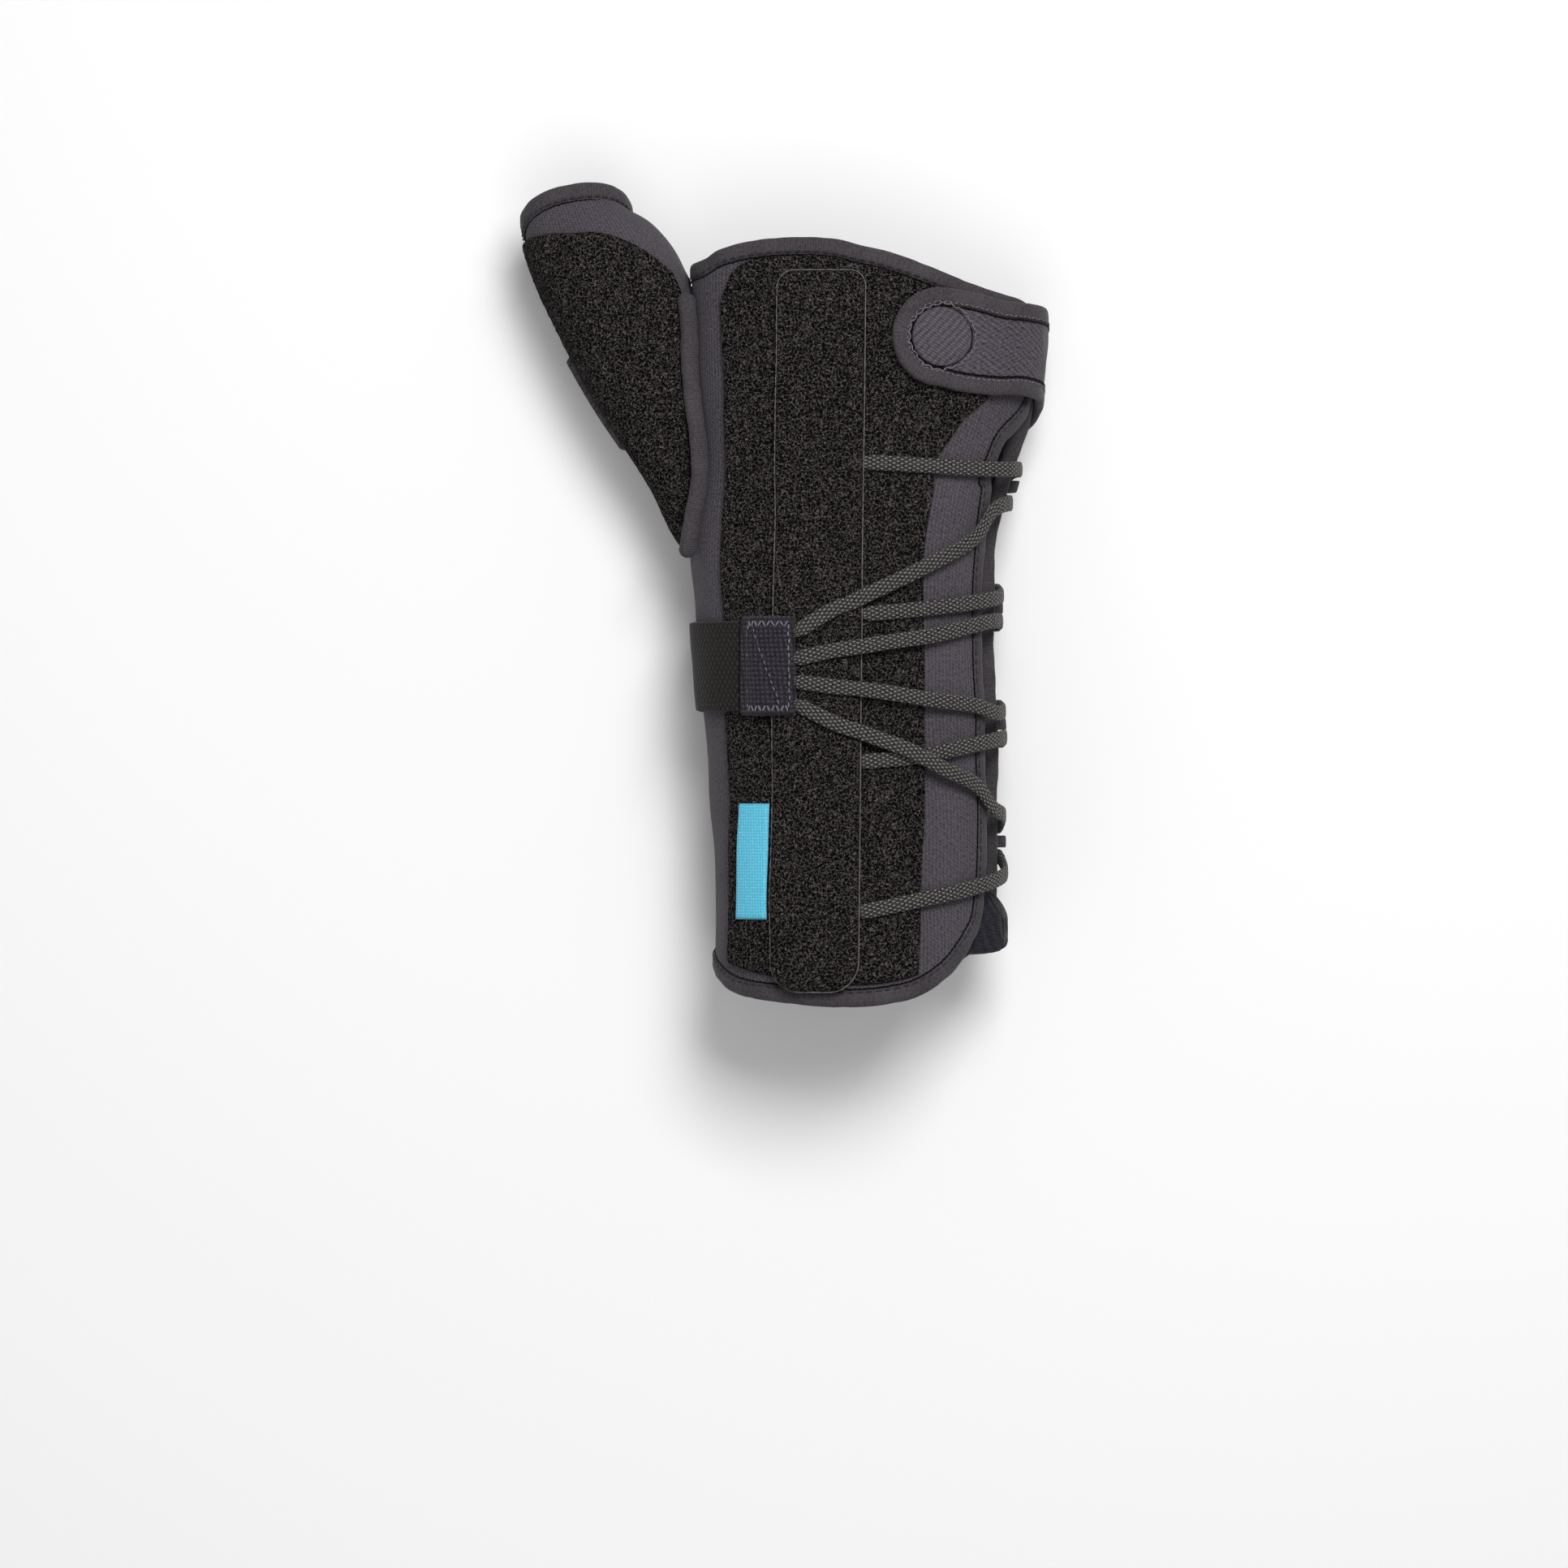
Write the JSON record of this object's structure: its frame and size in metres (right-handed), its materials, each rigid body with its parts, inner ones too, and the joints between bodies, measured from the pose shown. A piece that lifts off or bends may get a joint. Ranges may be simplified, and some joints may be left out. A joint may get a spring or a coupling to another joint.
{
  "type": "thumb spica splint",
  "caption": "Laced wrist and thumb splint for a right hand, a padded open wall with a thumb sleeve, pile panels, hand strap and pull tab.",
  "frame": {"origin": "middle of the underside of the splint's box, where it lies palm side down", "axes": "+Y from forearm to fingers, +X to the little finger's side, +Z out of the back of the hand"},
  "size_m": [0.1484, 0.2296, 0.066],
  "materials": {
    "knit": "fine ribbed knit over foam",
    "pile": "curly loop pile",
    "binding": "stretch edge tape with a line of stitches",
    "rib": "ribbed knit",
    "twill": "twill with stitches",
    "braid": "flat braid",
    "webbing": "coarse webbing",
    "elastic": "woven elastic",
    "label": "woven ribbon"
  },
  "bodies": {
    "root": {"splint_shell": "knit", "hand_rim_binding": "binding", "edge_binding": "binding", "dorsal_pile_panel": "pile", "dorsal_stay_strip": "pile", "side_label": "label", "ulnar_tongue": "rib", "hand_strap": "knit", "hand_strap_binding": "binding", "strap_round_tab": "twill", "thumb_sleeve": "knit", "thumb_seam_binding": "binding", "thumb_pile_panel": "pile", "thumb_flap": "knit", "thumb_rim_binding": "binding", "lace_1": "braid", "guide_loop_1": "binding", "lace_2": "braid", "guide_loop_2": "binding", "lace_3": "braid", "guide_loop_3": "binding", "lace_4": "braid", "guide_loop_4": "binding", "pull_patch": "webbing", "pull_band": "elastic"}
  },
  "joints": []
}
